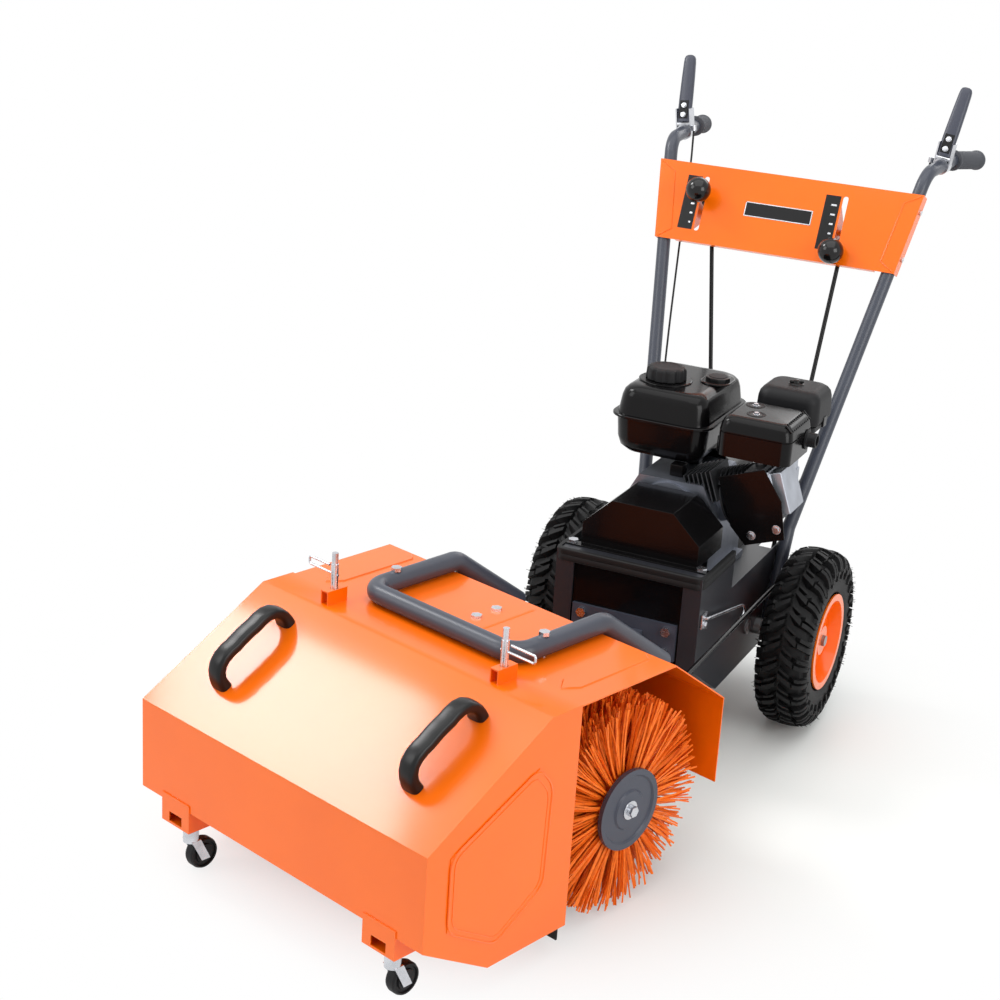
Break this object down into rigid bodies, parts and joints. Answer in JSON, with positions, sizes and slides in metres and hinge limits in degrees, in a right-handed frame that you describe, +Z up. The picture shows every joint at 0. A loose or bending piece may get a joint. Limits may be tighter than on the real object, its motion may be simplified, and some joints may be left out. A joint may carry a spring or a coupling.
{
  "type": "power brush sweeper",
  "caption": "Walk-behind petrol sweeper: a swivelling brush head under a hood, a lift-off collecting bin on castors, driven lugged wheels and a push handle with levers.",
  "frame": {"origin": "on the floor under the middle of the bounding box", "axes": "+Z up, -Y to the front of the machine, +X to the left of the person who pushes it"},
  "size_m": [0.804, 1.8666, 1.1167],
  "materials": {
    "orange_paint": "glossy powder coat",
    "dark_paint": "satin powder coat",
    "black_paint": "glossy black paint",
    "zinc": "zinc plated",
    "steel": "machined steel",
    "cast_alloy": "cast aluminium",
    "bronze": "bronze",
    "bristle": "orange bristles",
    "black_plastic": "glossy black plastic",
    "matte_black": "matte black plastic",
    "knob_plastic": "black knobs on steel levers",
    "grip_rubber": "dark rubber grip",
    "black_rubber": "black rubber",
    "tyre": "lugged tyre"
  },
  "bodies": {
    "chassis": {"chassis_frame": "dark_paint", "shaft_bearings": "steel", "front_cover": "black_paint", "swivel_boom": "dark_paint", "belt_cover": "black_paint", "chassis_bolts": "zinc", "drive_belts": "black_rubber", "crankcase": "cast_alloy", "cylinder_head": "cast_alloy", "rocker_cover": "cast_alloy", "blower_housing": "matte_black", "recoil_cover": "matte_black", "muffler": "steel", "muffler_shield": "black_paint", "carburettor": "cast_alloy", "air_cleaner": "matte_black", "fuel_tank": "black_plastic", "handlebars": "dark_paint", "hand_grips": "grip_rubber", "control_panel": "orange_paint", "lever_brackets": "zinc", "clutch_cables": "black_rubber"},
    "head": {"brush_hood": "orange_paint", "push_tube": "dark_paint", "hood_bolts": "zinc", "gearbox_housing": "dark_paint", "latch_pins": "zinc", "bin_shell": "orange_paint", "bin_handles": "black_plastic", "bin_lip": "black_rubber"},
    "brush": {"brush_shaft": "zinc", "worm_wheel": "bronze", "left_bristles": "bristle", "right_bristles": "bristle", "brush_end_discs": "matte_black"},
    "wheels": {"drive_axle": "steel", "wheel_rims": "orange_paint", "tyres": "tyre"},
    "left_r_clip": {"left_r_clip": "zinc"},
    "right_r_clip": {"right_r_clip": "zinc"},
    "left_castor_fork": {"left_castor_fork": "zinc"},
    "right_castor_fork": {"right_castor_fork": "zinc"},
    "left_castor_wheel": {"left_castor_wheel": "matte_black"},
    "right_castor_wheel": {"right_castor_wheel": "matte_black"},
    "worm_shaft": {"worm_shaft": "steel"},
    "crankshaft": {"crankshaft": "steel"},
    "brush_drive_shaft": {"brush_drive_shaft": "steel"},
    "drive_disc": {"drive_disc": "steel"},
    "friction_wheel": {"friction_wheel": "black_rubber"},
    "cross_shaft": {"cross_shaft": "steel"},
    "fuel_cap": {"fuel_cap": "black_plastic"},
    "left_hand_lever": {"left_hand_lever": "black_paint"},
    "right_hand_lever": {"right_hand_lever": "black_paint"},
    "speed_lever": {"speed_lever": "knob_plastic"},
    "angle_lever": {"angle_lever": "knob_plastic"},
    "speed_rod": {"speed_rod": "black_paint"},
    "angle_rod": {"angle_rod": "black_paint"},
    "bell_crank": {"bell_crank": "zinc"},
    "link_rod": {"link_rod": "black_paint"},
    "shift_crank": {"shift_crank": "zinc"}
  },
  "joints": [
    {"name": "head_swivel", "type": "hinge", "parent": "chassis", "child": "head", "pos_m": [0.09802, -0.19373, 0.221], "axis": [0, 0, 1], "range_deg": [0, 35.6]},
    {"name": "brush_spin", "type": "hinge", "parent": "head", "child": "brush", "pos_m": [0.02526, -0.42033, 0.176], "axis": [0.9521, -0.3057, 0], "continuous": true},
    {"name": "worm_spin", "type": "hinge", "parent": "head", "child": "worm_shaft", "pos_m": [0.09802, -0.19373, 0.221], "axis": [0.3057, 0.9521, 0], "continuous": true},
    {"name": "input_spin", "type": "hinge", "parent": "chassis", "child": "brush_drive_shaft", "pos_m": [0.09802, -0.19373, 0.221], "axis": [0, 1, 0], "continuous": true},
    {"name": "crank_spin", "type": "hinge", "parent": "chassis", "child": "crankshaft", "pos_m": [0.09802, 0.28628, 0.406], "axis": [0, 1, 0], "continuous": true},
    {"name": "drive_disc_spin", "type": "hinge", "parent": "chassis", "child": "drive_disc", "pos_m": [0.09802, 0.28628, 0.18286], "axis": [0, 1, 0], "continuous": true},
    {"name": "wheel_spin", "type": "hinge", "parent": "chassis", "child": "wheels", "pos_m": [0.09802, 0.28628, 0.165], "axis": [1, 0, 0], "continuous": true},
    {"name": "cross_shaft_spin", "type": "hinge", "parent": "chassis", "child": "cross_shaft", "pos_m": [0.09802, 0.22858, 0.18286], "axis": [1, 0, 0], "continuous": true},
    {"name": "friction_shift", "type": "slide", "parent": "cross_shaft", "child": "friction_wheel", "axis": [1, 0, 0], "range_m": [-0.031, 0.059]},
    {"name": "shift_crank_turn", "type": "hinge", "parent": "chassis", "child": "shift_crank", "pos_m": [0.11062, 0.43628, 0.28149], "axis": [0, 1, 0], "range_deg": [-43.93, 23.08]},
    {"name": "speed_lever_turn", "type": "hinge", "parent": "chassis", "child": "speed_lever", "pos_m": [-0.05998, 0.66958, 0.82961], "axis": [-1, 0, 0], "range_deg": [-35.93, 18.88]},
    {"name": "speed_rod_slide", "type": "slide", "parent": "chassis", "child": "speed_rod", "axis": [-0.1799, 0.2528, 0.9506], "range_m": [-0.04214, 0.02214]},
    {"name": "angle_lever_turn", "type": "hinge", "parent": "chassis", "child": "angle_lever", "pos_m": [0.21502, 0.66958, 0.82961], "axis": [-1, 0, 0], "range_deg": [0, 54.81]},
    {"name": "angle_rod_slide", "type": "slide", "parent": "chassis", "child": "angle_rod", "axis": [0, 0.3907, 0.9205], "range_m": [0, 0.06428]},
    {"name": "bell_crank_turn", "type": "hinge", "parent": "chassis", "child": "bell_crank", "pos_m": [0.09802, 0.37747, 0.195], "axis": [-1, 0, 0], "range_deg": [0, 77.74]},
    {"name": "link_rod_slide", "type": "slide", "parent": "chassis", "child": "link_rod", "axis": [0, 1, 0], "range_m": [0, 0.10891]},
    {"name": "left_clutch_lever", "type": "hinge", "parent": "chassis", "child": "left_hand_lever", "pos_m": [-0.16461, 0.73869, 1.00758], "axis": [-0.9914, 0, -0.1305], "range_deg": [0, 62], "stiffness_Nm_per_rad": 0.6, "springref_deg": -34.38},
    {"name": "right_clutch_lever", "type": "hinge", "parent": "chassis", "child": "right_hand_lever", "pos_m": [0.36065, 0.73869, 1.00758], "axis": [-0.9914, 0, 0.1305], "range_deg": [0, 62], "stiffness_Nm_per_rad": 0.6, "springref_deg": -34.38},
    {"name": "fuel_cap_twist", "type": "hinge", "parent": "chassis", "child": "fuel_cap", "pos_m": [0.03202, 0.22828, 0.615], "axis": [0, 0, 1], "range_deg": [0, 90]},
    {"name": "left_castor_swivel", "type": "hinge", "parent": "head", "child": "left_castor_fork", "pos_m": [-0.31396, -0.74413, 0.05], "axis": [0, 0, 1], "continuous": true},
    {"name": "left_castor_roll", "type": "hinge", "parent": "left_castor_fork", "child": "left_castor_wheel", "pos_m": [-0.30784, -0.72509, 0.025], "axis": [0.9521, -0.3057, 0], "continuous": true},
    {"name": "left_clip_pull", "type": "slide", "parent": "head", "child": "left_r_clip", "axis": [-0.9521, 0.3057, 0], "range_m": [0, 0.03]},
    {"name": "right_castor_swivel", "type": "hinge", "parent": "head", "child": "right_castor_fork", "pos_m": [0.1126, -0.88108, 0.05], "axis": [0, 0, 1], "continuous": true},
    {"name": "right_castor_roll", "type": "hinge", "parent": "right_castor_fork", "child": "right_castor_wheel", "pos_m": [0.11871, -0.86204, 0.025], "axis": [0.9521, -0.3057, 0], "continuous": true},
    {"name": "right_clip_pull", "type": "slide", "parent": "head", "child": "right_r_clip", "axis": [0.9521, -0.3057, 0], "range_m": [0, 0.03]}
  ],
  "couplings": [
    {"joint": "worm_spin", "follows": "brush_spin", "ratio": 12},
    {"joint": "input_spin", "follows": "brush_spin", "ratio": 12},
    {"joint": "cross_shaft_spin", "follows": "wheel_spin", "ratio": -2},
    {"joint": "shift_crank_turn", "follows": "friction_shift", "rad_per_m": -12.993},
    {"joint": "speed_lever_turn", "follows": "friction_shift", "rad_per_m": -10.627},
    {"joint": "speed_rod_slide", "follows": "friction_shift", "ratio": -0.71417},
    {"joint": "angle_lever_turn", "follows": "head_swivel", "ratio": 1.5393},
    {"joint": "angle_rod_slide", "follows": "head_swivel", "m_per_rad": 0.10345},
    {"joint": "bell_crank_turn", "follows": "head_swivel", "ratio": 2.1833},
    {"joint": "link_rod_slide", "follows": "head_swivel", "m_per_rad": 0.17528}
  ]
}
